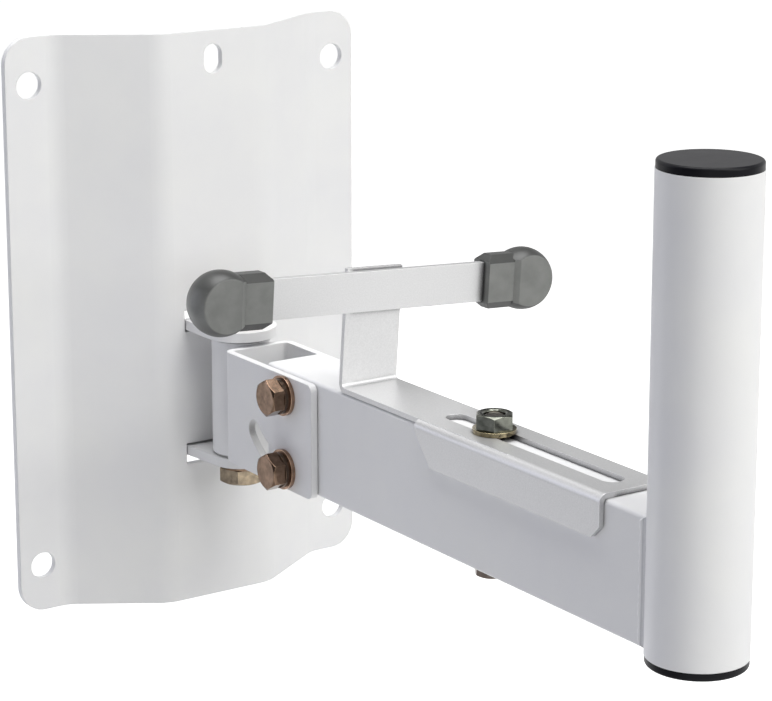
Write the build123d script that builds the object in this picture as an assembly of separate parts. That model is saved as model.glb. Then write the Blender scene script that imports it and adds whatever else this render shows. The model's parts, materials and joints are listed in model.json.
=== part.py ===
from build123d import *
import math
import os

# Speaker wall bracket, in millimetres
# The wall is the plane Y = 0 and the arm reaches out along -Y. X runs across the
# wall, Z is up. The origin is the middle of the four wall screw holes.

# Wall plate, pressed from one sheet with a raised middle
plate_width = 165.0
plate_height = 241.0
plate_sheet = 3.0
plate_corner_radius = 11.0
plate_bend_radius = 13.0
crest_width = 48.0
crest_rise = 22.8
ramp_run = 36.0
wall_hole_diameter = 11.0
wall_hole_margin_x = 10.5
wall_hole_margin_z = 19.5
level_slot_width = 8.5
level_slot_length = 12.0
level_slot_margin = 11.7

# Pivot yoke behind the plate, with two lugs out through windows in the crest
yoke_sheet = 4.0
yoke_bend_radius = 1.0
yoke_width = 29.8
lug_room = 2.0
lug_mid_z = -28.0
lug_tip_radius = 14.9
lower_lug_tip_radius = 12.8
window_side_gap = 0.4
window_inner_gap = 1.0
window_outer_gap = 4.0

# Swivel pivot: an M10 bolt through the lugs and the sleeve of the bracket
pivot_out = 45.0
pivot_bolt_diameter = 10.0
pivot_hex = 17.0
pivot_head_height = 6.4
pivot_head_turn = -11.5
pivot_nut_height = 8.0
pivot_thread_past = 3.0
pivot_washer_diameter = 20.0
pivot_washer_thickness = 2.0
pivot_spring_washer_diameter = 18.0
pivot_spring_washer_thickness = 2.2
sleeve_diameter = 24.0
thrust_washer_diameter = 22.0
thrust_washer_thickness = 1.0
pivot_running_gap = 0.06
sleeve_end_gap = 0.05

# Swivel bracket, a U of sheet that holds the arm between its flanges
bracket_sheet = 3.0
bracket_bend_radius = 1.5
bracket_over_arm = 0.0
bracket_corner_radius = 3.0
flange_reach = 66.0
flange_side_gap = 0.2

# Hexagon heads: the corners are turned off at this angle, down to this share of the flats
hex_chamfer_angle = 30.0
hex_face_share = 0.95
bolt_tip_share = 0.1
nut_countersink = 0.5

# Tilt bolts: the upper one is the tilt axis, the lower one clamps in an arc slot
tilt_bolt_diameter = 8.0
tilt_hex = 13.0
tilt_head_height = 5.3
tilt_nut_height = 6.5
tilt_axis_from_web = 46.5
tilt_axis_from_top = 8.0
clamp_above_arm_bottom = 7.1
tilt_slot_travel = 49.0
tilt_running_gap = 0.05
washer_diameter = 16.0
washer_thickness = 1.6
washer_rub_gap = 0.03
spring_washer_diameter = 14.2
spring_washer_thickness = 2.0
spring_washer_split = 1.2
spring_washer_slant = 25.0
bolt_hole_play = 0.25
bolt_thread_past = 3.0

# Arm, a rectangular tube welded to the pole
arm_width = 25.0
arm_height = 46.0
arm_wall = 2.0
arm_corner_radius = 1.6
arm_top_above_flange = 0.9
arm_end_gap = 26.4

# Pole, the round tube that the speaker's socket drops over
pole_diameter = 35.0
pole_wall = 2.0
pole_length = 162.5
pole_out = 333.0
pole_below_arm = 0.4
cap_flange_thickness = 3.0
cap_flange_inset = 0.2
cap_rim_radius = 1.0
cap_plug_depth = 12.0
cap_plug_wall = 2.0

# Support slider, bent from one sheet: a tongue on the arm, a side flap, a leg cut to lean
slider_sheet = 2.0
slider_bend_radius = 1.4
leg_lean = 3.5
slider_seat_gap = 0.12
flap_side_gap = 0.25
tongue_end_out = 299.0
leg_out = 140.0
leg_width = 25.0
leg_height = 46.4
flap_drop = 16.0
flap_start_out = 191.0
flap_slant = 10.0
flap_chamfer = 4.5
tongue_slot_width = 8.6
tongue_slot_start_out = 193.5
tongue_slot_end_margin = 7.4

# Slider clamp bolt, through the arm and the tongue slot, with a low nut on top
slider_bolt_out = 220.5
slider_nut_height = 5.6
slider_nut_turn = -7.0
slider_bolt_below_nut_top = 0.7

# Cross bar on the leg with a rubber cap at each end, resting against the cabinet
bar_height = 15.5
bar_thickness = 3.0
bar_above_tongue = 29.9
bar_exposed_length = 98.4
bar_in_cap = 15.0

# Rubber caps, a chamfered collar that widens over a shoulder into a flattened ball
collar_front_length = 12.0
collar_height = 21.4
collar_thickness = 10.6
collar_chamfer = 3.0
collar_mouth_chamfer = 2.4
shoulder_run = 2.1
ball_radius = 12.4
ball_centre = 19.6
ball_face_half = 6.8
ball_face_round = 0.9
cap_pocket_gap = 0.05

# Places worked out from the sizes above
crest_face = crest_rise + plate_sheet
bracket_height = arm_height + bracket_over_arm
lug_gap = bracket_height + 2 * lug_room
bracket_top = lug_mid_z + bracket_height / 2
bracket_bottom = bracket_top - bracket_height
web_outer = pivot_out + sleeve_diameter / 2
web_inner = web_outer + bracket_sheet
flange_end = web_outer + flange_reach
flange_inner_half = arm_width / 2 + flange_side_gap
flange_outer_half = flange_inner_half + bracket_sheet
tilt_out = web_outer + tilt_axis_from_web
tilt_z = bracket_top - tilt_axis_from_top
arm_top = bracket_top + arm_top_above_flange
arm_bottom = arm_top - arm_height
clamp_z = arm_bottom + clamp_above_arm_bottom
tilt_bolt_spacing = tilt_z - clamp_z
arm_mid_z = (arm_top + arm_bottom) / 2
arm_end = web_inner + arm_end_gap
pole_bottom = arm_bottom - pole_below_arm
pole_top = pole_bottom + pole_length
upper_lug_bottom = lug_mid_z + lug_gap / 2
upper_lug_top = upper_lug_bottom + yoke_sheet
lower_lug_top = lug_mid_z - lug_gap / 2
lower_lug_bottom = lower_lug_top - yoke_sheet
sleeve_bottom = lower_lug_top + thrust_washer_thickness + sleeve_end_gap
sleeve_length = lug_gap - 2 * (thrust_washer_thickness + sleeve_end_gap)
tilt_hole = tilt_bolt_diameter + 2 * bolt_hole_play
washer_seat = flange_outer_half + washer_rub_gap
head_seat = washer_seat + washer_thickness + spring_washer_thickness
nut_seat = washer_seat + washer_thickness
slider_washer_seat = slider_sheet + washer_rub_gap


def box_between(x_low, x_high, y_low, y_high, z_low, z_high):
    """A block given by its limits along each axis."""
    block = Box(x_high - x_low, y_high - y_low, z_high - z_low)
    return Pos((x_low + x_high) / 2, (y_low + y_high) / 2, (z_low + z_high) / 2) * block


def sheet_strip(corners, inner_radius, thickness):
    """The section of a bent sheet, drawn along the middle of its thickness."""
    path = FilletPolyline(*corners, radius=inner_radius + thickness / 2)
    return trace(path, line_width=thickness)


def upright(radius, out, low, high):
    """A round bar along Z, standing the given distance out from the wall."""
    return Pos(0, -out, (low + high) / 2) * Cylinder(radius, high - low)


def crosswise(radius, out, z, low, high):
    """A round bar along X."""
    bar = Cylinder(radius, high - low, rotation=(0, 90, 0))
    return Pos((low + high) / 2, -out, z) * bar


def standing_cylinder(radius, height):
    """A round bar standing on the plane Z = 0."""
    return Cylinder(radius, height, align=(Align.CENTER, Align.CENTER, Align.MIN))


def ring(outer_diameter, inner_diameter, thickness):
    """A flat washer standing on the plane Z = 0."""
    return standing_cylinder(outer_diameter / 2, thickness) - standing_cylinder(inner_diameter / 2, thickness)


def hexagon_head(across_flats, height):
    """A hexagonal head on the plane Z = 0, the corners of its top turned off to a cone."""
    prism = extrude(RegularPolygon(across_flats / 2, 6, major_radius=False), amount=height)
    corner_radius = across_flats / math.sqrt(3)
    face_radius = hex_face_share * across_flats / 2
    cone_height = (corner_radius - face_radius) * math.tan(math.radians(hex_chamfer_angle))
    cone = Cone(corner_radius, face_radius, cone_height, align=(Align.CENTER, Align.CENTER, Align.MAX))
    turned = standing_cylinder(corner_radius, height - cone_height) + Pos(0, 0, height) * cone
    return prism & turned


def hex_bolt(diameter, across_flats, head_height, shank_length):
    """A hexagon bolt with the head's seat on Z = 0 and the shank going down."""
    shank = Pos(0, 0, -shank_length) * standing_cylinder(diameter / 2, shank_length)
    shank = chamfer(shank.edges().group_by(Axis.Z)[0], bolt_tip_share * diameter)
    return hexagon_head(across_flats, head_height) + shank


def hex_nut(diameter, across_flats, height):
    """A hexagon nut standing on Z = 0, its bore countersunk at both ends."""
    nut = hexagon_head(across_flats, height) - standing_cylinder(diameter / 2, height)
    rims = nut.edges().filter_by(GeomType.CIRCLE)
    bore_ends = rims.filter_by(lambda rim: rim.radius < hex_face_share * across_flats / 2)
    return chamfer(bore_ends, nut_countersink)


def split_ring(outer_diameter, inner_diameter, thickness, split):
    """A spring lock washer on Z = 0 with its slanted split."""
    washer = ring(outer_diameter, inner_diameter, thickness)
    cut = Rot(0, spring_washer_slant, 0) * Box(split, outer_diameter, 4 * thickness)
    return washer - Pos(0, outer_diameter / 2, thickness / 2) * cut


def wall_plate():
    half_crest = crest_width / 2
    half_foot = half_crest + ramp_run
    sheet_mid = plate_sheet / 2
    section = sheet_strip(
        [
            (-plate_width / 2, -sheet_mid),
            (-half_foot, -sheet_mid),
            (-half_crest, -crest_rise - sheet_mid),
            (half_crest, -crest_rise - sheet_mid),
            (half_foot, -sheet_mid),
            (plate_width / 2, -sheet_mid),
        ],
        plate_bend_radius,
        plate_sheet,
    )
    pressing = extrude(section, amount=plate_height / 2, both=True)
    outline = RectangleRounded(plate_width, plate_height, plate_corner_radius)
    blank = extrude(Plane.XZ * outline, amount=2 * crest_face, both=True)
    plate = pressing & blank

    hole_x = plate_width / 2 - wall_hole_margin_x
    hole_z = plate_height / 2 - wall_hole_margin_z
    drill = Cylinder(wall_hole_diameter / 2, 4 * plate_sheet, rotation=(90, 0, 0))
    for x in (-hole_x, hole_x):
        for z in (-hole_z, hole_z):
            plate -= Pos(x, 0, z) * drill

    slot = Rot(0, 0, 90) * SlotOverall(level_slot_length, level_slot_width)
    slot_z = plate_height / 2 - level_slot_margin
    plate -= extrude(Plane.XZ * (Pos(0, slot_z) * slot), amount=2 * crest_face)

    half_window = yoke_width / 2 + window_side_gap
    windows = (
        (upper_lug_bottom - window_inner_gap, upper_lug_top + window_outer_gap),
        (lower_lug_bottom - window_outer_gap, lower_lug_top + window_inner_gap),
    )
    for low, high in windows:
        plate -= box_between(-half_window, half_window, -2 * crest_face, 0, low, high)
    return plate


def lug_outline(tip_radius):
    """Plan of a lug: full width at the yoke's web, rounded about the pivot."""
    root = crest_rise - yoke_sheet
    half = yoke_width / 2
    slope = math.atan2(half - tip_radius, pivot_out - crest_face)
    touch_x = tip_radius * math.cos(slope)
    touch_y = -pivot_out - tip_radius * math.sin(slope)
    sides = Polyline(
        (-touch_x, touch_y), (-half, -crest_face), (-half, -root), (half, -root), (half, -crest_face), (touch_x, touch_y)
    )
    tip = ThreePointArc((touch_x, touch_y), (0, -pivot_out - tip_radius), (-touch_x, touch_y))
    return make_face([sides, tip])


def pivot_yoke():
    web_mid = -crest_rise + yoke_sheet / 2
    tip_out = -pivot_out - lug_tip_radius
    upper_mid = upper_lug_bottom + yoke_sheet / 2
    lower_mid = lower_lug_top - yoke_sheet / 2
    section = sheet_strip(
        [(tip_out, upper_mid), (web_mid, upper_mid), (web_mid, lower_mid), (tip_out, lower_mid)],
        yoke_bend_radius,
        yoke_sheet,
    )
    bent = extrude(Plane.YZ * section, amount=yoke_width / 2, both=True)
    reach = 2 * lug_gap
    upper_plan = extrude(Pos(0, 0, lug_mid_z) * lug_outline(lug_tip_radius), amount=reach)
    lower_plan = extrude(Pos(0, 0, lug_mid_z) * lug_outline(lower_lug_tip_radius), amount=-reach)
    bore = upright(pivot_bolt_diameter / 2 + pivot_running_gap, pivot_out, lower_lug_bottom - 1, upper_lug_top + 1)
    return (bent & (upper_plan + lower_plan)) - bore


def pivot_bolt():
    seat = lower_lug_bottom - pivot_spring_washer_thickness
    grip = upper_lug_top - seat + pivot_washer_thickness + pivot_nut_height
    bolt = hex_bolt(pivot_bolt_diameter, pivot_hex, pivot_head_height, grip + pivot_thread_past)
    return Pos(0, -pivot_out, seat) * Rot(0, 0, pivot_head_turn) * Rot(180, 0, 0) * bolt


def pivot_spring_washer():
    washer = split_ring(
        pivot_spring_washer_diameter,
        pivot_bolt_diameter + 2 * bolt_hole_play,
        pivot_spring_washer_thickness,
        spring_washer_split,
    )
    return Pos(0, -pivot_out, lower_lug_bottom - pivot_spring_washer_thickness) * washer


def pivot_nut():
    nut = hex_nut(pivot_bolt_diameter, pivot_hex, pivot_nut_height)
    return Pos(0, -pivot_out, upper_lug_top + pivot_washer_thickness) * nut


def pivot_nut_washer():
    bore = pivot_bolt_diameter + 2 * bolt_hole_play
    washer = ring(pivot_washer_diameter, bore, pivot_washer_thickness)
    return Pos(0, -pivot_out, upper_lug_top) * washer


def thrust_washer(low):
    washer = ring(
        thrust_washer_diameter, pivot_bolt_diameter + 2 * pivot_running_gap, thrust_washer_thickness
    )
    return Pos(0, -pivot_out, low) * washer


def pivot_sleeve():
    tube = ring(sleeve_diameter, pivot_bolt_diameter + 2 * pivot_running_gap, sleeve_length)
    return Pos(0, -pivot_out, sleeve_bottom) * tube


def swivel_bracket():
    mid_half = flange_inner_half + bracket_sheet / 2
    web_mid = -web_outer - bracket_sheet / 2
    section = sheet_strip(
        [(-mid_half, -flange_end), (-mid_half, web_mid), (mid_half, web_mid), (mid_half, -flange_end)],
        bracket_bend_radius,
        bracket_sheet,
    )
    bracket = Pos(0, 0, bracket_bottom) * extrude(section, amount=bracket_height)
    free_corners = bracket.edges().filter_by(Axis.X).group_by(Axis.Y)[0]
    bracket = fillet(free_corners, bracket_corner_radius)

    wide = 2 * flange_outer_half
    bracket -= crosswise(tilt_bolt_diameter / 2 + tilt_running_gap, tilt_out, tilt_z, -wide, wide)
    start = math.radians(-90)
    end = math.radians(-90 + tilt_slot_travel)
    middle = (start + end) / 2
    arc_points = [
        (-tilt_out + tilt_bolt_spacing * math.cos(angle), tilt_z + tilt_bolt_spacing * math.sin(angle))
        for angle in (start, middle, end)
    ]
    arc_slot = SlotArc(ThreePointArc(*arc_points), tilt_hole)
    return bracket - extrude(Plane.YZ * arc_slot, amount=wide, both=True)


def on_near_side(piece, z, outward):
    """Turn a piece made along Z to point away from the near flange, at a tilt bolt's height."""
    return Pos(-outward, -tilt_out, z) * Rot(0, -90, 0) * piece


def on_far_side(piece, z, outward):
    """The same for the far flange."""
    return Pos(outward, -tilt_out, z) * Rot(0, 90, 0) * piece


def tilt_bolt(z):
    shank = head_seat + nut_seat + tilt_nut_height + bolt_thread_past
    return on_near_side(hex_bolt(tilt_bolt_diameter, tilt_hex, tilt_head_height, shank), z, head_seat)


def tilt_spring_washer(z):
    washer = split_ring(
        spring_washer_diameter, tilt_hole, spring_washer_thickness, spring_washer_split
    )
    return on_near_side(washer, z, nut_seat)


def tilt_washers(z):
    washer = ring(washer_diameter, tilt_hole, washer_thickness)
    near = on_near_side(washer, z, washer_seat)
    far = on_far_side(washer, z, washer_seat)
    return Compound(children=[near, far])


def tilt_nut(z):
    nut = hex_nut(tilt_bolt_diameter, tilt_hex, tilt_nut_height)
    return on_far_side(nut, z, nut_seat)


def slider_frame():
    """Where the tongue's underside rests on the arm, at the wall face."""
    return Pos(0, 0, arm_top + slider_seat_gap)


def leaning_frame():
    """The slider's frame turned about the arm's far edge, as the leg and the bar lean."""
    far_edge = arm_width / 2
    return slider_frame() * Pos(far_edge, 0, 0) * Rot(0, leg_lean, 0) * Pos(-far_edge, 0, 0)


def arm_section():
    outer = RectangleRounded(arm_width, arm_height, arm_corner_radius)
    inner_radius = max(arm_corner_radius - arm_wall, arm_wall / 4)
    inner = RectangleRounded(arm_width - 2 * arm_wall, arm_height - 2 * arm_wall, inner_radius)
    return outer - inner


def arm_tube():
    run = pole_out - arm_end
    tube = extrude(Plane.XZ * arm_section(), amount=run)
    tube = Pos(0, -arm_end, arm_mid_z) * tube
    tube -= upright(pole_diameter / 2, pole_out, arm_bottom - 1, arm_top + 1)
    wide = 2 * arm_width
    tube -= crosswise(tilt_bolt_diameter / 2 + tilt_running_gap, tilt_out, tilt_z, -wide, wide)
    tube -= crosswise(tilt_hole / 2, tilt_out, clamp_z, -wide, wide)
    bolt_hole = Pos(0, -slider_bolt_out, 0) * Cylinder(tilt_hole / 2, 4 * arm_height)
    return tube - slider_frame() * bolt_hole


def pole_tube():
    tube = ring(pole_diameter, pole_diameter - 2 * pole_wall, pole_length)
    return Pos(0, -pole_out, pole_bottom) * tube


def pole_cap():
    """A push-in cap: a flange on the tube's end and a hollow plug inside it."""
    flange = standing_cylinder(pole_diameter / 2 - cap_flange_inset, cap_flange_thickness)
    flange = fillet(flange.edges().group_by(Axis.Z)[-1], cap_rim_radius)
    plug_diameter = pole_diameter - 2 * pole_wall
    plug = ring(plug_diameter, plug_diameter - 2 * cap_plug_wall, cap_plug_depth)
    return flange + Pos(0, 0, -cap_plug_depth) * plug


def leg_outline():
    """The leg seen from the front: upright at its root, then leaning over to its top."""
    half = leg_width / 2
    lean = math.radians(leg_lean)
    root = slider_sheet + slider_bend_radius
    across = leg_width * math.cos(lean)
    rise = leg_width * math.sin(lean)
    far_top_x = half + leg_height * math.sin(lean)
    far_top_z = leg_height * math.cos(lean)
    outline = Polyline(
        (-half, -slider_sheet),
        (half, -slider_sheet),
        (half, root),
        (far_top_x, far_top_z),
        (far_top_x - across, far_top_z + rise),
        (-half, root),
        close=True,
    )
    return make_face(outline)


def support_slider():
    far_edge = arm_width / 2
    tongue_mid = slider_sheet / 2
    flap_mid = -arm_width / 2 - flap_side_gap - slider_sheet / 2
    flap_low = slider_sheet - flap_drop
    over_all = 2 * (arm_width + slider_sheet)
    leg_back = slider_sheet - leg_out
    leg_mid = leg_back - slider_sheet / 2
    uncut_height = leg_height + leg_width

    folded = sheet_strip(
        [(far_edge, tongue_mid), (flap_mid, tongue_mid), (flap_mid, flap_low)],
        slider_bend_radius,
        slider_sheet,
    )
    tongue_and_flap = extrude(Plane.XZ * folded, amount=tongue_end_out)
    bend_low = -slider_bend_radius
    side_view = make_face(
        Polyline(
            (-flap_start_out, 2 * slider_sheet),
            (-flap_start_out, bend_low),
            (-flap_start_out - flap_slant, flap_low),
            (-tongue_end_out + flap_chamfer, flap_low),
            (-tongue_end_out, flap_low + flap_chamfer),
            (-tongue_end_out, 2 * slider_sheet),
            close=True,
        )
    )
    body = tongue_and_flap & extrude(Plane.YZ * side_view, amount=over_all, both=True)
    into_flap = -(tongue_end_out + flap_start_out) / 2
    body += box_between(-far_edge, far_edge, into_flap, -leg_out, 0, slider_sheet)

    upright_section = sheet_strip(
        [(-leg_out - 4 * slider_sheet, tongue_mid), (leg_mid, tongue_mid), (leg_mid, uncut_height)],
        slider_bend_radius,
        slider_sheet,
    )
    leg = extrude(Plane.YZ * upright_section, amount=over_all, both=True)
    body += leg & extrude(Plane.XZ * leg_outline(), amount=2 * leg_out, both=True)

    slot_end = tongue_end_out - tongue_slot_end_margin
    slot_shape = Rot(0, 0, 90) * SlotOverall(slot_end - tongue_slot_start_out, tongue_slot_width)
    slot_middle = Pos(0, -(slot_end + tongue_slot_start_out) / 2)
    body -= extrude(slot_middle * slot_shape, amount=2 * slider_sheet, both=True)
    return slider_frame() * body


def bar_place(piece):
    """Put a piece made about the bar's middle onto the front of the leg."""
    middle_z = bar_above_tongue + bar_height / 2
    return leaning_frame() * Pos(0, -leg_out - bar_thickness / 2, middle_z) * piece


def cross_bar():
    return bar_place(Box(bar_exposed_length + 2 * bar_in_cap, bar_thickness, bar_height))


def rubber_cap():
    """The cap on the bar's right end, with the mouth of its collar at X = 0."""
    collar = Box(ball_centre, collar_thickness, collar_height, align=(Align.MIN, Align.CENTER, Align.CENTER))
    long_edges = collar.edges().filter_by(Axis.X)
    collar = chamfer(long_edges, collar_chamfer)
    mouth = collar.faces().sort_by(Axis.X)[0].edges().filter_by(Axis.Y)
    collar = chamfer(mouth, collar_mouth_chamfer)

    neck = collar_thickness / 2
    shoulder_end = collar_front_length + shoulder_run
    ball_end = ball_centre + ball_radius
    plan = Polyline(
        (collar_front_length, -neck),
        (shoulder_end, -ball_face_half),
        (ball_end, -ball_face_half),
        (ball_end, ball_face_half),
        (shoulder_end, ball_face_half),
        (collar_front_length, neck),
        close=True,
    )
    slab = extrude(make_face(plan), amount=ball_radius, both=True)
    ball = (Pos(ball_centre, 0, 0) * Sphere(ball_radius)) & slab
    ball = fillet(ball.faces().filter_by(Axis.Y).edges(), ball_face_round)
    pocket = Box(
        bar_in_cap + cap_pocket_gap,
        bar_thickness + 2 * cap_pocket_gap,
        bar_height + 2 * cap_pocket_gap,
        align=(Align.MIN, Align.CENTER, Align.CENTER),
    )
    return (collar + ball) - pocket


def cap_on_end(side):
    cap = Pos(bar_exposed_length / 2, 0, 0) * rubber_cap()
    if side < 0:
        cap = Rot(0, 0, 180) * cap
    return bar_place(cap)


def slider_bolt():
    seat = arm_height + slider_seat_gap
    nut_top = slider_washer_seat + washer_thickness + slider_nut_height
    shank = seat + nut_top - slider_bolt_below_nut_top
    bolt = Rot(180, 0, 0) * hex_bolt(tilt_bolt_diameter, tilt_hex, tilt_head_height, shank)
    return slider_frame() * Pos(0, -slider_bolt_out, -seat) * bolt


def slider_nut():
    nut = Rot(0, 0, slider_nut_turn) * hex_nut(tilt_bolt_diameter, tilt_hex, slider_nut_height)
    return slider_frame() * Pos(0, -slider_bolt_out, slider_washer_seat + washer_thickness) * nut


def slider_washers():
    """The washer between the nut and the tongue. The bolt's head bears on the arm itself."""
    washer = ring(washer_diameter, tilt_hole, washer_thickness)
    return slider_frame() * Pos(0, -slider_bolt_out, slider_washer_seat) * washer


def main():
    pieces = {
        "wall_plate": wall_plate(),
        "pivot_yoke": pivot_yoke(),
        "pivot_bolt": pivot_bolt(),
        "pivot_nut": pivot_nut(),
        "pivot_nut_washer": pivot_nut_washer(),
        "pivot_spring_washer": pivot_spring_washer(),
        "lower_thrust_washer": thrust_washer(lower_lug_top),
        "upper_thrust_washer": thrust_washer(upper_lug_bottom - thrust_washer_thickness),
        "pivot_sleeve": pivot_sleeve(),
        "swivel_bracket": swivel_bracket(),
        "arm_tube": arm_tube(),
        "pole_tube": pole_tube(),
        "pole_cap_top": Pos(0, -pole_out, pole_top) * pole_cap(),
        "pole_cap_bottom": Pos(0, -pole_out, pole_bottom) * Rot(180, 0, 0) * pole_cap(),
        "support_slider": support_slider(),
        "cross_bar": cross_bar(),
        "rubber_cap_left": cap_on_end(-1),
        "rubber_cap_right": cap_on_end(1),
        "slider_bolt": slider_bolt(),
        "slider_nut": slider_nut(),
        "slider_washers": slider_washers(),
    }
    for name, z in (("tilt_pivot", tilt_z), ("tilt_clamp", clamp_z)):
        pieces[f"{name}_bolt"] = tilt_bolt(z)
        pieces[f"{name}_spring_washer"] = tilt_spring_washer(z)
        pieces[f"{name}_washers"] = tilt_washers(z)
        pieces[f"{name}_nut"] = tilt_nut(z)

    os.makedirs("parts", exist_ok=True)
    for name, piece in pieces.items():
        export_step(piece, f"parts/{name}.step")


main()
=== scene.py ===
import json
import math

import bpy
from mathutils import Matrix, Vector


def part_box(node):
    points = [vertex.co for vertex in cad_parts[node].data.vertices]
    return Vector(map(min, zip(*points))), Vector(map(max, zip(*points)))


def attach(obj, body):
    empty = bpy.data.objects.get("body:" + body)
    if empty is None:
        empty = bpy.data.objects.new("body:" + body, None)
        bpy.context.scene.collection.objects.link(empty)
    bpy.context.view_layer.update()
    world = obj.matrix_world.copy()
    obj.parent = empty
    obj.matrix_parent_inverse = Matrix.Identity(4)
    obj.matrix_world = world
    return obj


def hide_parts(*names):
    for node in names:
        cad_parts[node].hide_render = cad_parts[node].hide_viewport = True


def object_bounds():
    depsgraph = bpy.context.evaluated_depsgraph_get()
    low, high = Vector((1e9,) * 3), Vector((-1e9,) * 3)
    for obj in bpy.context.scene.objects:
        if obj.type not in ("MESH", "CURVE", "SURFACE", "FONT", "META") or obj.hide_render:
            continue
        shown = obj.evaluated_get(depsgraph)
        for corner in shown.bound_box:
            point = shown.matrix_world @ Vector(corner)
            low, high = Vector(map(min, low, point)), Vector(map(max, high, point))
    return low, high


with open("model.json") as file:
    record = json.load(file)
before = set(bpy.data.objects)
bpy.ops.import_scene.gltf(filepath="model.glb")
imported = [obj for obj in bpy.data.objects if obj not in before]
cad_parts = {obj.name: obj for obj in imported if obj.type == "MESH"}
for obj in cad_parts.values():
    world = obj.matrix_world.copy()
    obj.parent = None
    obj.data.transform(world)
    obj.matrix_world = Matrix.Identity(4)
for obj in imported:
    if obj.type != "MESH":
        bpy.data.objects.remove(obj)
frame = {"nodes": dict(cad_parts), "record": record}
cad_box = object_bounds()

MM = 0.001

# Places on the bracket, read from the frame
pole_low, pole_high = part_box("pole_tube")
pole_middle = (pole_low + pole_high) / 2
pole_axis = pole_middle * Vector((1, 1, 0))
pole_radius = (pole_high.x - pole_low.x) / 2
arm_low, arm_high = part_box("arm_tube")
sleeve_low, sleeve_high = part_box("pivot_sleeve")
sleeve_middle = (sleeve_low + sleeve_high) / 2
sleeve_radius = (sleeve_high.x - sleeve_low.x) / 2
bracket_low, bracket_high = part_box("swivel_bracket")

# Camera: above the arm and to the left of it, looking down with a long lens. Angles in degrees
CAMERA_PLACE = Vector((-0.5485, -0.9597, 0.2693))
CAMERA_HEADING = 34.16
CAMERA_DIP = 13.04
FOCAL_LENGTH = 124.7
SENSOR_WIDTH = 36.0
FRAME_SHIFT = -0.1
CLIP_NEAR = 0.05
CLIP_FAR = 60.0

# Colours, as linear values
COAT_COOL = (0.785, 0.785, 0.80, 1)
COAT_WARM = (0.815, 0.815, 0.815, 1)
# Painted shade for the corners of the white coat
COAT_PAINTED_SHADE = (0.42, 0.42, 0.44, 1)
WELD_DULL = (0.86, 0.86, 0.87, 1)
WELD_BRIGHT = (0.96, 0.96, 0.96, 1)
# Painted shade on the weld next to the pole
WELD_PAINTED_SHADE = (0.56, 0.56, 0.58, 1)
BRONZE_PALE = (0.225, 0.150, 0.105, 1)
BRONZE_DARK = (0.085, 0.055, 0.038, 1)
BRASSY_PALE = (0.34, 0.29, 0.18, 1)
BRASSY_DARK = (0.085, 0.072, 0.050, 1)
WORN_PALE = (0.31, 0.25, 0.175, 1)
WORN_DARK = (0.11, 0.09, 0.07, 1)
# Coppery bronze plating, made paler as a painted highlight on the washers' rims
COPPERY_HIGHLIT_PALE = (0.42, 0.28, 0.20, 1)
COPPERY_HIGHLIT_DARK = (0.17, 0.11, 0.08, 1)
# Bronze plating darkened as painted shade, for the spring washers between head and washer
BRONZE_PAINTED_SHADE_PALE = (0.10, 0.07, 0.052, 1)
BRONZE_PAINTED_SHADE_DARK = (0.045, 0.031, 0.024, 1)
BROWN_PALE = (0.20, 0.165, 0.145, 1)
BROWN_DARK = (0.11, 0.092, 0.082, 1)
ZINC_PALE = (0.17, 0.175, 0.152, 1)
ZINC_DARK = (0.058, 0.061, 0.051, 1)
ALUMINIUM_PALE = (0.63, 0.63, 0.635, 1)
ALUMINIUM_DARK = (0.555, 0.555, 0.56, 1)
# Pale edges of the aluminium: cut metal, and partly a painted highlight
ALUMINIUM_SHEARED_AND_HIGHLIT = (0.86, 0.86, 0.865, 1)
# Painted shade for the hollows of the aluminium
ALUMINIUM_PAINTED_SHADE = (0.16, 0.16, 0.165, 1)
RUBBER_GREY = (0.155, 0.159, 0.153, 1)
RUBBER_DUSTY = (0.205, 0.210, 0.202, 1)
# Painted shade for the tops, undersides and creases of the rubber
RUBBER_PAINTED_SHADE = (0.012, 0.0125, 0.012, 1)
CAP_BLACK = (0.004, 0.004, 0.006, 1)
NYLON_PALE = (0.62, 0.62, 0.58, 1)
PAPER_WHITE = (0.82, 0.82, 0.82, 1)
BACKGROUND_WHITE = (1, 1, 1, 1)

# Edges and corners of the finishes
EDGE_SAMPLES = 6
EDGE_GAIN = 6.0
COAT_ROUNDING = 0.5 * MM
STEEL_ROUNDING = 0.28 * MM
SHEET_ROUNDING = 0.3 * MM
MOULDED_ROUNDING = 0.3 * MM
# The hollow masks set where painted shade falls in corners and creases
HOLLOW_SAMPLES = 8
CORNER_REACH = 4.0 * MM
CREASE_REACH = 2.5 * MM
# Paler bare edges of metal: rubbed on steel, cut on aluminium, and partly a painted highlight. Their
# share, and the gain on steel
BARE_EDGE_AND_HIGHLIGHT_SHARE = 0.6
WORN_AND_HIGHLIT_GAIN = 2.2
HALF_GLOSS = 0.5

# Places across the bracket between which the painted shade in the hollows of the aluminium sets in
SHADE_STARTS = -9.0 * MM
SHADE_FULL = -7.0 * MM

# The coat on a weld gets painted shade where it comes this near to the pole
HOLLOW_FULL = 1.2 * MM
HOLLOW_ENDS = 1.55 * MM

# How bright the plain light all round is
AMBIENT = 0.075

# Dark cards in the mirrored studio: the way to each from the bracket, the cosine at its edge, the
# cosine from which it is full, and its weight
CARDS = (
    ((-0.95, 0.10, -0.15), 0.62, 0.86, 1.0),  # at the left
    ((0.25, 0.05, -0.97), 0.50, 0.75, 1.0),  # below
    ((0.60, 0.78, 0.15), 0.75, 0.95, 0.5),  # behind at the right
    ((0.45, 0.30, 0.86), 0.78, 0.92, 0.7),  # overhead
    ((0.45, -0.86, -0.24), 0.55, 0.90, 0.28),  # low in front
)
CARD_DARKNESS = 0.85

# Floor: its size from the middle, its height, how bright it glows near the bracket and far off, and
# the distances between which that changes
FLOOR_REACH = 12.0
FLOOR_HEIGHT = -0.55
GLOW_NEAR = 0.66
GLOW_FAR = 0.97
GLOW_STARTS = 0.9
GLOW_FULL = 1.7

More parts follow.
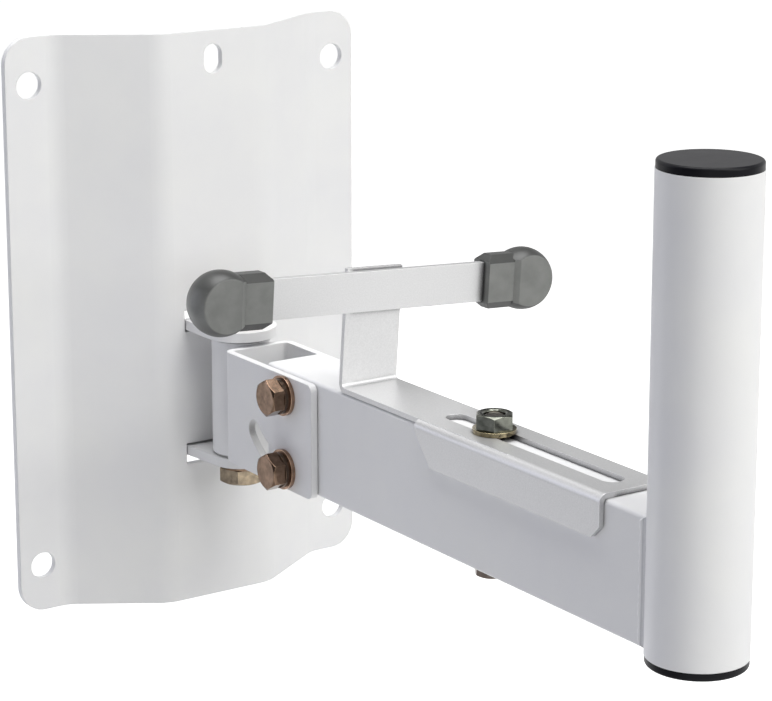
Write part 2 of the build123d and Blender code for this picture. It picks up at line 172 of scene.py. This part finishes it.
# Lamps: name, way from the bracket, distance, width, height, watts, colour, seen in reflections
LAMPS = (
    ("key_front_right", (0.40, -0.92, 0.42), 2.4, 1.6, 1.6, 22.0, (1.0, 1.0, 0.975), True),
    ("front_low", (-0.1, -1.0, -0.35), 2.4, 1.6, 1.6, 5.5, (1.0, 1.0, 0.985), False),
    ("top", (0.05, 0.1, 1.0), 1.8, 1.4, 1.4, 33.0, (1.0, 1.0, 1.0), True),
    ("top_front", (0.1, -0.75, 1.0), 2.2, 1.4, 1.4, 24.0, (1.0, 1.0, 0.985), True),
    ("fill_left_back", (-0.75, 0.66, 0.25), 2.4, 1.4, 1.4, 6.0, (0.80, 0.83, 1.0), True),
    ("fill_left", (-1.0, 0.25, 0.10), 2.4, 1.4, 1.4, 6.3, (0.80, 0.83, 1.0), False),
)

# Bolt sizes: shank radius, thread pitch, width of the head across its flats, height of the head
M8 = (4.0 * MM, 1.25 * MM, 13.0 * MM, 5.3 * MM)
M10 = (5.0 * MM, 1.5 * MM, 17.0 * MM, 6.4 * MM)
BOLT_SIDES = 48
SHARP_ANGLE = math.radians(28)
HEAD_CHAMFER = math.radians(30)
HEAD_FACE = 0.95
TIP_CHAMFER = 0.2
PIVOT_HEAD_TURN = math.radians(-11.5)

# Thread: its length, and as shares of the pitch its depth, half the groove's width and the run-in
THREADED_LENGTH = 22 * MM
THREAD_DEPTH = 0.55
GROOVE_HALF_WIDTH = 0.45
GROOVE_SLOPE = 2.6
THREAD_RUN_IN = 1.5
RINGS_PER_PITCH = 9

# Welds: distance between rings, length of the tapered ends, size at the very end, and the waves of
# the passes along the bead: their height as a share, radians to the millimetre, and phase
WELD_RING_STEP = 0.3 * MM
WELD_TAPER = 1.5 * MM
WELD_END_SHARE = 0.05
WELD_WAVES = ((0.04, 2.1, 0.0), (0.05, 0.83, 1.0), (0.03, 0.37, 2.0))
ARM_WELD_INSET = 0.5 * MM
SLEEVE_WELD_INSET = 2 * MM

# Sections of the welds, in millimetres. Beside the pole: along the arm from the seam, and out of the
# arm's side. The root lies on the seam, inside the side
ARM_WELD = (
    (3.3, -0.15),
    (3.1, 0.14),
    (2.8, 0.44),
    (2.5, 0.6),
    (2.2, 0.54),
    (1.9, 0.26),
    (1.0, 0.2),
    (0.3, 0.36),
)
ARM_WELD_ROOT = -0.4
# The same weld where it runs up onto the pole: round the pole from the seam, and off its surface
POLE_WELD = ((1.2, 0.11), (2.2, -0.09))
# Beside the sleeve: out from its middle, and along from the bracket's web, with the root first
SLEEVE_WELD = ((2.0, 0.0), (7.4, -0.1), (7.3, 0.5), (6.9, 1.0), (6.5, 1.6), (6.3, 2.2))


class Value:
    """A socket of a shader graph. Arithmetic on it adds Math nodes."""

    def __init__(self, graph, socket):
        self.graph = graph
        self.socket = socket

    def out(self, name):
        """Another output of the same node."""
        return Value(self.graph, self.socket.node.outputs[name])

    def math(self, operation, *others):
        sockets = dict(enumerate((self, *others)))
        return self.graph.add("ShaderNodeMath", {"operation": operation}, sockets)

    def __add__(self, other):
        return self.math("ADD", other)

    def __sub__(self, other):
        return self.math("SUBTRACT", other)

    def __rsub__(self, other):
        return self.graph.add("ShaderNodeMath", {"operation": "SUBTRACT"}, {0: other, 1: self})

    def __mul__(self, other):
        return self.math("MULTIPLY", other)

    __radd__ = __add__
    __rmul__ = __mul__

    def clamped(self):
        return self.math("MINIMUM", 1.0).math("MAXIMUM", 0.0)


class Graph:
    """The node tree of a material or of the world."""

    def __init__(self, tree):
        self.tree = tree
        tree.nodes.clear()

    def add(self, kind, settings=None, sockets=None):
        """Add a node: its own settings first, then the values or links of its sockets."""
        node = self.tree.nodes.new(kind)
        for name, value in (settings or {}).items():
            setattr(node, name, value)
        for name, value in (sockets or {}).items():
            if isinstance(value, Value):
                self.tree.links.new(value.socket, node.inputs[name])
            else:
                node.inputs[name].default_value = value
        return Value(self, node.outputs[0]) if node.outputs else node

    def vectors(self, operation, *vectors):
        """A Vector Math node. Where its result is a number, out("Value") gives it."""
        return self.add("ShaderNodeVectorMath", {"operation": operation}, dict(enumerate(vectors)))

    def place(self):
        """Position on the bracket, in metres."""
        return self.add("ShaderNodeTexCoord").out("Object")

    def face_normal(self):
        """The normal of the surface, without its relief."""
        return self.add("ShaderNodeNewGeometry").out("Normal")

    def noise(self, grain, detail=3.0, roughness=0.55, stretch=(1, 1, 1)):
        """Noise from 0 to 1 with features of about the given size in metres."""
        scaled = self.vectors("MULTIPLY", self.place(), Vector(stretch) / grain)
        sockets = {"Vector": scaled, "Scale": 1.0, "Detail": detail, "Roughness": roughness}
        return self.add("ShaderNodeTexNoise", {}, sockets)

    def mix(self, share, first, second):
        """A colour between two colours."""
        settings = {"data_type": "RGBA"}
        sockets = {0: share, 6: first, 7: second}
        mixer = self.add("ShaderNodeMix", settings, sockets)
        return Value(self, mixer.socket.node.outputs[2])

    def spread(self, value, low, high):
        """A value stretched so that low becomes 0 and high becomes 1."""
        settings = {"clamp": True}
        sockets = {0: value, 1: low, 2: high, 3: 0.0, 4: 1.0}
        return self.add("ShaderNodeMapRange", settings, sockets)

    def facing(self, direction, way):
        """The cosine between a direction and a fixed way."""
        return self.vectors("DOT_PRODUCT", direction, Vector(way).normalized()).out("Value")

    def edge_rounding(self, radius):
        """A normal that is rounded over the edges."""
        return self.add("ShaderNodeBevel", {"samples": EDGE_SAMPLES}, {"Radius": radius})

    def edge_mask(self, rounded):
        """1 on the edges of a solid and 0 on its flat faces."""
        along = self.vectors("DOT_PRODUCT", rounded, self.face_normal()).out("Value")
        return ((1.0 - along) * EDGE_GAIN).clamped()

    def hollow_mask(self, reach):
        """1 deep in a hollow or a crease and 0 on open faces."""
        settings = {"samples": HOLLOW_SAMPLES}
        open_sky = self.add("ShaderNodeAmbientOcclusion", settings, {"Distance": reach})
        return 1.0 - open_sky.out("AO")

    def upward(self):
        """1 on faces that look up and -1 on faces that look down."""
        return self.facing(self.face_normal(), (0, 0, 1))

    def bump(self, height, distance, normal):
        """A normal that follows a relief of the given depth."""
        sockets = {"Height": height, "Distance": distance, "Strength": 1.0, "Normal": normal}
        return self.add("ShaderNodeBump", {}, sockets)

    def surface(self, sockets):
        """Finish the material with a Principled shader."""
        shader = self.add("ShaderNodeBsdfPrincipled", {}, sockets)
        self.add("ShaderNodeOutputMaterial", {}, {"Surface": shader})


def new_material(name):
    material = bpy.data.materials.new(name)
    material.use_nodes = True
    return material, Graph(material.node_tree)


def powder_coat():
    """White powder coat: the faint ripple of the baked film, a soft gloss and painted shade in its
    corners.
    """
    material, graph = new_material("powder_coat_white")
    ripple = graph.noise(1.1 * MM, detail=2.0)
    cloud = graph.noise(30 * MM)
    tint = graph.mix(graph.spread(cloud, 0.3, 0.7), COAT_COOL, COAT_WARM)
    # Painted shade: the coat is darkened in its corners and creases
    painted_corner_shade = 0.55 * graph.spread(graph.hollow_mask(CORNER_REACH), 0.30, 0.75)
    rounded = graph.edge_rounding(COAT_ROUNDING)
    graph.surface(
        {
            "Base Color": graph.mix(painted_corner_shade, tint, COAT_PAINTED_SHADE),
            "Roughness": 0.34 + 0.08 * cloud,
            "Normal": graph.bump(ripple, 0.012 * MM, rounded),
            "Specular IOR Level": HALF_GLOSS,
        }
    )
    return material


def weld_coat():
    """The same powder coat over a weld bead: less smooth, with painted shade in the hollow by the
    pole.
    """
    material, graph = new_material("powder_coat_on_weld")
    lumps = graph.noise(2.2 * MM, detail=4.0, roughness=0.6)
    covered = graph.mix(lumps, WELD_DULL, WELD_BRIGHT)
    level_place = graph.vectors("MULTIPLY", graph.place(), (1, 1, 0))
    from_pole = graph.vectors("DISTANCE", level_place, pole_axis).out("Value") - pole_radius
    # Painted shade in the hollow between the weld and the pole
    painted_hollow_shade = 1.0 - graph.spread(from_pole, HOLLOW_FULL, HOLLOW_ENDS)
    graph.surface(
        {
            "Base Color": graph.mix(painted_hollow_shade, covered, WELD_PAINTED_SHADE),
            "Roughness": 0.36 + 0.1 * lumps,
            "Normal": graph.bump(lumps, 0.25 * MM, graph.face_normal()),
            "Specular IOR Level": HALF_GLOSS,
        }
    )
    return material


def plated_steel(name, pale, dark, roughness):
    """Plated steel fasteners: mottled plating, fine drawing marks, and paler edges that are rubbed
    bare and also a painted highlight.
    """
    material, graph = new_material(name)
    mottle = graph.noise(2.6 * MM, detail=2.5, roughness=0.5)
    marks = graph.noise(0.5 * MM, stretch=(1.0, 1.0, 0.18))
    plating = graph.mix(graph.spread(mottle, 0.22, 0.72), dark, pale)
    rounded = graph.edge_rounding(STEEL_ROUNDING)
    # Painted highlight together with rubbing: the edges are made paler
    wear_and_highlight = graph.edge_mask(rounded)
    worn_and_highlit = tuple(min(1.0, WORN_AND_HIGHLIT_GAIN * part) for part in pale[:3]) + (1,)
    graph.surface(
        {
            "Base Color": graph.mix(BARE_EDGE_AND_HIGHLIGHT_SHARE * wear_and_highlight, plating, worn_and_highlit),
            "Metallic": 1.0,
            "Roughness": roughness + 0.10 * mottle - 0.05 * wear_and_highlight,
            "Normal": graph.bump(marks, 0.008 * MM, rounded),
        }
    )
    return material


def blasted_aluminium():
    """Bright aluminium, finely blasted: a dense grain, paler edges that are cut metal and also a
    painted highlight, and painted shade in its hollows.
    """
    material, graph = new_material("blasted_aluminium")
    grain = graph.noise(0.55 * MM, detail=4.0, roughness=0.7)
    cloud = graph.noise(14 * MM, detail=2.0)
    blasted = graph.mix(graph.spread(grain, 0.35, 0.68), ALUMINIUM_DARK, ALUMINIUM_PALE)
    rounded = graph.edge_rounding(SHEET_ROUNDING)
    # Edges made paler: partly cut metal, partly a painted highlight
    sheared_and_highlit = graph.edge_mask(rounded)
    across = graph.facing(graph.place(), (1, 0, 0))
    from_near_edge = graph.spread(across, SHADE_STARTS, SHADE_FULL)
    # Painted shade in the hollows of the aluminium, past its near edge
    painted_hollow_shade = from_near_edge * graph.spread(graph.hollow_mask(CORNER_REACH), 0.22, 0.46)
    bright = graph.mix(BARE_EDGE_AND_HIGHLIGHT_SHARE * sheared_and_highlit, blasted, ALUMINIUM_SHEARED_AND_HIGHLIT)
    graph.surface(
        {
            "Base Color": graph.mix(painted_hollow_shade, bright, ALUMINIUM_PAINTED_SHADE),
            "Metallic": 0.75,
            "Roughness": 0.34 + 0.07 * grain + 0.04 * cloud,
            "Normal": graph.bump(grain, 0.010 * MM, rounded),
        }
    )
    return material


def cap_rubber():
    """Moulded grey rubber with a satin skin and a little dust, and painted shade above, below and in
    creases.
    """
    material, graph = new_material("cap_rubber_grey")
    skin = graph.noise(0.4 * MM, detail=2.0)
    dust = graph.noise(7 * MM)
    dusted = graph.mix(graph.spread(dust, 0.3, 0.75), RUBBER_GREY, RUBBER_DUSTY)
    rounded = graph.edge_rounding(MOULDED_ROUNDING)
    up = graph.upward()
    # Painted shade on faces that look up or down and in creases
    painted_shade = graph.spread(up, 0.12, 0.6) + graph.spread(0.0 - up, 0.3, 0.75)
    painted_shade = painted_shade + graph.spread(graph.hollow_mask(CREASE_REACH), 0.10, 0.3)
    graph.surface(
        {
            "Base Color": graph.mix(0.85 * painted_shade.clamped(), dusted, RUBBER_PAINTED_SHADE),
            "Roughness": 0.34 + 0.10 * dust,
            "Normal": graph.bump(skin, 0.010 * MM, rounded),
            "Specular IOR Level": HALF_GLOSS,
        }
    )
    return material


def moulded_plastic(name, colour, roughness, gloss):
    """Injection moulded plastic with a fine spark-eroded texture, paler where it is handled."""
    material, graph = new_material(name)
    texture = graph.noise(0.35 * MM, detail=2.0)
    handling = graph.noise(9 * MM, detail=4.0)
    pale = tuple(1.15 * part + 0.003 for part in colour[:3]) + (1,)
    rounded = graph.edge_rounding(MOULDED_ROUNDING)
    graph.surface(
        {
            "Base Color": graph.mix(graph.spread(handling, 0.4, 0.8), colour, pale),
            "Roughness": roughness + 0.08 * handling,
            "Normal": graph.bump(texture, 0.006 * MM, rounded),
            "Specular IOR Level": gloss,
        }
    )
    return material


def studio_seen(graph, direction):
    """How bright the studio looks: white to the camera, dimmer where cards stand in reflections.

    direction points from the bracket. The cards give bright metal edges to show. The second value is
    1 for a ray of the camera or of a reflection.
    """
    path = graph.add("ShaderNodeLightPath")
    straight = path.out("Is Camera Ray").math("MAXIMUM", path.out("Is Transmission Ray"))
    mirrored = path.out("Is Glossy Ray")
    cards = 0.0
    for way, edge, full, weight in CARDS:
        cards = cards + weight * graph.spread(graph.facing(direction, way), edge, full)
    brightness = straight + mirrored * (1.0 - CARD_DARKNESS * cards.clamped())
    return brightness, mirrored.math("MAXIMUM", straight)


def stage_white():
    """Pale studio paper: it takes the bracket's shadow, and further off it looks white."""
    material, graph = new_material("studio_paper")
    direction = graph.vectors("NORMALIZE", graph.place())
    distance = graph.vectors("LENGTH", graph.place()).out("Value")
    brightness, _ = studio_seen(graph, direction)
    far_off = graph.spread(distance, GLOW_STARTS, GLOW_FULL)
    glow_share = GLOW_NEAR + (GLOW_FAR - GLOW_NEAR) * far_off
    paper = graph.add("ShaderNodeBsdfDiffuse", {}, {"Color": PAPER_WHITE})
    sockets = {"Color": BACKGROUND_WHITE, "Strength": glow_share * brightness}
    glow = graph.add("ShaderNodeEmission", {}, sockets)
    both = graph.add("ShaderNodeAddShader", {}, {0: paper, 1: glow})
    graph.add("ShaderNodeOutputMaterial", {}, {"Surface": both})
    return material


def smooth_mesh(name, vertices, faces, material):
    """A named object from points and faces, shaded smooth."""
    mesh = bpy.data.meshes.new(name)
    mesh.from_pydata(vertices, [], faces)
    mesh.polygons.foreach_set("use_smooth", [True] * len(mesh.polygons))
    mesh.materials.append(material)
    mesh.update()
    piece = bpy.data.objects.new(name, mesh)
    bpy.context.scene.collection.objects.link(piece)
    return piece


def rings_to_faces(ring_count, ring_size):
    """Faces that join rings of points one after the other, with a face on each end."""
    faces = []
    for ring in range(ring_count - 1):
        for step in range(ring_size):
            after = (step + 1) % ring_size
            low, high = ring * ring_size, (ring + 1) * ring_size
            faces.append((low + step, low + after, high + after, high + step))
    faces.append(tuple(reversed(range(ring_size))))
    faces.append(tuple(range((ring_count - 1) * ring_size, ring_count * ring_size)))
    return faces


def weld_bead(name, low, high, section, body):
    """An upright weld: its plan section, given from its root, swells and thins with the passes."""
    ring_count = int((high - low) / WELD_RING_STEP)
    root = section[0]
    vertices = []
    for ring in range(ring_count):
        z = low + (high - low) * ring / (ring_count - 1)
        passes = sum(share * math.sin(z / MM * pace + phase) for share, pace, phase in WELD_WAVES)
        end_share = min(z - low, high - z) / WELD_TAPER
        size = (1.0 + passes) * math.sqrt(min(1.0, max(WELD_END_SHARE, end_share)))
        for point in section:
            place = root + (point - root) * size
            vertices.append((place.x, place.y, z))
    piece = smooth_mesh(name, vertices, rings_to_faces(ring_count, len(section)), coats["weld"])
    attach(piece, body)


def arm_weld_section(side):
    """Between the arm and the pole: a ridge on the arm, then a hollow up onto the pole."""
    arm_half = arm_high.x
    seam_y = pole_middle.y + math.sqrt(pole_radius**2 - arm_half**2)
    seam_turn = math.atan2(seam_y - pole_middle.y, arm_half)
    section = [Vector((side * (arm_half + ARM_WELD_ROOT * MM), seam_y, 0))]
    for along, out in ARM_WELD:
        section.append(Vector((side * (arm_half + out * MM), seam_y + along * MM, 0)))
    for arc, off in POLE_WELD:
        turn = seam_turn - arc * MM / pole_radius
        onto_pole = Vector((side * math.cos(turn), math.sin(turn), 0))
        section.append(pole_axis + onto_pole * (pole_radius + off * MM))
    return section


def sleeve_weld_section(side):
    """Between the pivot sleeve and the web of the bracket."""
    web_face = sleeve_middle.y - sleeve_radius
    return [Vector((side * out * MM, web_face + along * MM, 0)) for out, along in SLEEVE_WELD]


def hexagon_reach(turn, across_flats):
    """How far a hexagon's side is from its middle in one direction. Turn 0 points at a corner."""
    sixth = math.pi / 3
    return across_flats / 2 / math.cos(turn % sixth - sixth / 2)


def thread_groove(share):
    """Depth of the thread's groove, from 0 on the crest to 1 at its root, over one pitch."""
    return min(1.0, max(0.0, GROOVE_SLOPE * (GROOVE_HALF_WIDTH - abs(share - 0.5))))


def bolt_rings(size, shank):
    """The bolt's surface from its head to its tip: functions of the turn, for radius and height."""
    radius, pitch, across_flats, head = size
    face = HEAD_FACE * across_flats / 2
    slope = math.tan(HEAD_CHAMFER)
    tip = TIP_CHAMFER * radius
    thread_start = THREADED_LENGTH - shank

    def side(turn):
        return hexagon_reach(turn, across_flats)

    rings = [
        lambda turn: (face, head),
        lambda turn: (side(turn), head - (side(turn) - face) * slope),
        lambda turn: (side(turn), 0.0),
        lambda turn: (radius, 0.0),
        lambda turn: (radius, thread_start),
    ]
    steps = int(THREADED_LENGTH / pitch * RINGS_PER_PITCH)
    for step in range(1, steps + 1):
        z = thread_start - THREADED_LENGTH * step / steps
        run_in = min(1.0, (thread_start - z) / (THREAD_RUN_IN * pitch))

        def thread(turn, z=z, run_in=run_in):
            share = (z / pitch - turn / (2 * math.pi)) % 1.0
            cut = radius - THREAD_DEPTH * pitch * thread_groove(share) * run_in
            return min(cut, radius - tip + (z + shank)), z

        rings.append(thread)
    return rings


def hexagon_bolt(node, body, size, head_way, corner_way):
    """A threaded hexagon bolt in the place of the plain one in the frame.

    head_way points from the shank to the head, corner_way from the middle to a corner of the head.
    """
    head_way = Vector(head_way)
    corner_way = Vector(corner_way).normalized()
    low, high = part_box(node)
    reach = (high - low) / 2
    length = 2 * abs(reach.dot(head_way))
    head = size[3]
    seat = (low + high) / 2 + head_way * (length / 2 - head)
    turned = Matrix((corner_way, head_way.cross(corner_way), head_way)).transposed()
    turns = [2 * math.pi * step / BOLT_SIDES for step in range(BOLT_SIDES)]
    rings = bolt_rings(size, length - head)
    vertices = []
    for ring in rings:
        for turn in turns:
            radius, height = ring(turn)
            local = Vector((radius * math.cos(turn), radius * math.sin(turn), height))
            vertices.append(seat + turned @ local)
    faces = [tuple(reversed(face)) for face in rings_to_faces(len(rings), BOLT_SIDES)]
    piece = smooth_mesh("threaded_" + node, vertices, faces, coat_of(node))
    piece.data.set_sharp_from_angle(angle=SHARP_ANGLE)
    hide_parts(node)
    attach(piece, body)


def set_stage(name):
    """The studio floor, far below the bracket."""
    corners = ((-1, -1), (1, -1), (1, 1), (-1, 1))
    vertices = [(x * FLOOR_REACH, y * FLOOR_REACH, FLOOR_HEIGHT) for x, y in corners]
    floor = smooth_mesh(name, vertices, [(0, 1, 2, 3)], stage_white())


def set_camera():
    heading = math.radians(CAMERA_HEADING)
    dip = math.radians(CAMERA_DIP)
    level = Vector((math.sin(heading), math.cos(heading), 0))
    sight = level * math.cos(dip) - Vector((0, 0, math.sin(dip)))
    camera = bpy.data.objects.new("camera", bpy.data.cameras.new("camera"))
    camera.location = CAMERA_PLACE
    camera.rotation_euler = sight.to_track_quat("-Z", "Y").to_euler()
    camera.data.lens = FOCAL_LENGTH
    camera.data.sensor_width = SENSOR_WIDTH
    camera.data.shift_y = FRAME_SHIFT
    camera.data.clip_start = CLIP_NEAR
    camera.data.clip_end = CLIP_FAR
    bpy.context.scene.collection.objects.link(camera)
    bpy.context.scene.camera = camera


def softbox(name, way, distance, width, height, power, colour, mirrored):
    """A rectangular lamp that faces the middle of the bracket."""
    lamp = bpy.data.lights.new(name, "AREA")
    lamp.shape = "RECTANGLE"
    lamp.size = width
    lamp.size_y = height
    lamp.energy = power
    lamp.color = colour
    holder = bpy.data.objects.new(name, lamp)
    middle = (cad_box[0] + cad_box[1]) / 2
    away = Vector(way).normalized()
    holder.location = middle + away * distance
    holder.rotation_euler = (-away).to_track_quat("-Z", "Y").to_euler()
    holder.visible_glossy = mirrored
    bpy.context.scene.collection.objects.link(holder)


def set_world():
    """White to the camera and in reflections, and a plain soft light on the bracket."""
    world = bpy.data.worlds.new("studio")
    bpy.context.scene.world = world
    world.use_nodes = True
    graph = Graph(world.node_tree)
    direction = graph.add("ShaderNodeTexCoord").out("Generated")
    brightness, seen = studio_seen(graph, direction)
    strength = AMBIENT * (1.0 - seen) + brightness
    sockets = {"Color": BACKGROUND_WHITE, "Strength": strength}
    background = graph.add("ShaderNodeBackground", {}, sockets)
    graph.add("ShaderNodeOutputWorld", {}, {"Surface": background})


# Finishes: of the welds, of each slot in the record, and of the nodes that differ from their slot
coats = {
    "weld": weld_coat(),
    "white_coat": powder_coat(),
    "bronze_zinc": plated_steel("bronze_zinc_plating", BRONZE_PALE, BRONZE_DARK, 0.10),
    "dark_zinc": plated_steel("grey_zinc_plating", ZINC_PALE, ZINC_DARK, 0.08),
    "satin_aluminium": blasted_aluminium(),
    "grey_rubber": cap_rubber(),
    "black_plastic": moulded_plastic("cap_plastic_black", CAP_BLACK, 0.27, 0.11),
    "washer_plastic": moulded_plastic("washer_nylon", NYLON_PALE, 0.45, 0.5),
    "pivot_bolt": plated_steel("worn_zinc_plating", WORN_PALE, WORN_DARK, 0.08),
    "slider_bolt": plated_steel("brown_zinc_plating", BROWN_PALE, BROWN_DARK, 0.10),
    "slider_washers": plated_steel("brassy_zinc_plating", BRASSY_PALE, BRASSY_DARK, 0.08),
    # Flat washers: coppery plating with a painted highlight
    "tilt_pivot_washers": plated_steel("coppery_plating_painted_highlight", COPPERY_HIGHLIT_PALE, COPPERY_HIGHLIT_DARK, 0.10),
    # Spring washers: bronze plating with painted shade between the head and the washer
    "tilt_pivot_spring_washer": plated_steel("bronze_plating_painted_shade", BRONZE_PAINTED_SHADE_PALE, BRONZE_PAINTED_SHADE_DARK, 0.14),
}
# The clamp bolt's washers take the same painted highlight and painted shade
coats["tilt_clamp_washers"] = coats["tilt_pivot_washers"]
coats["tilt_clamp_spring_washer"] = coats["tilt_pivot_spring_washer"]
material_slots = {part["node"]: part["material_slot"] for part in frame["record"]["subparts"]}


def coat_of(node):
    """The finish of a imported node: its own, or else that of its slot."""
    return coats.get(node) or coats[material_slots[node]]


for node in material_slots:
    mesh = frame["nodes"][node].data
    mesh.materials.clear()
    mesh.materials.append(coat_of(node))

# Bolts with their threads: two tilt bolts that point away from the camera, two bolts that stand up
head_corner = (math.cos(PIVOT_HEAD_TURN), math.sin(PIVOT_HEAD_TURN), 0)
hexagon_bolt("tilt_pivot_bolt", "swivel", M8, (-1, 0, 0), (0, 0, 1))
hexagon_bolt("tilt_clamp_bolt", "arm", M8, (-1, 0, 0), (0, 0, 1))
hexagon_bolt("slider_bolt", "arm", M8, (0, 0, -1), (1, 0, 0))
hexagon_bolt("pivot_bolt", "wall_mount", M10, (0, 0, -1), head_corner)

low, high = arm_low.z + ARM_WELD_INSET, arm_high.z - ARM_WELD_INSET
for side, name in ((-1, "weld_arm_near"), (1, "weld_arm_far")):
    weld_bead(name, low, high, arm_weld_section(side), "arm")
low, high = bracket_low.z + SLEEVE_WELD_INSET, bracket_high.z - SLEEVE_WELD_INSET
for side, name in ((-1, "weld_sleeve_near"), (1, "weld_sleeve_far")):
    weld_bead(name, low, high, sleeve_weld_section(side), "swivel")

set_stage("studio_floor")
set_camera()
set_world()
for lamp in LAMPS:
    softbox(*lamp)

scene = bpy.context.scene
scene.view_settings.view_transform = "Standard"
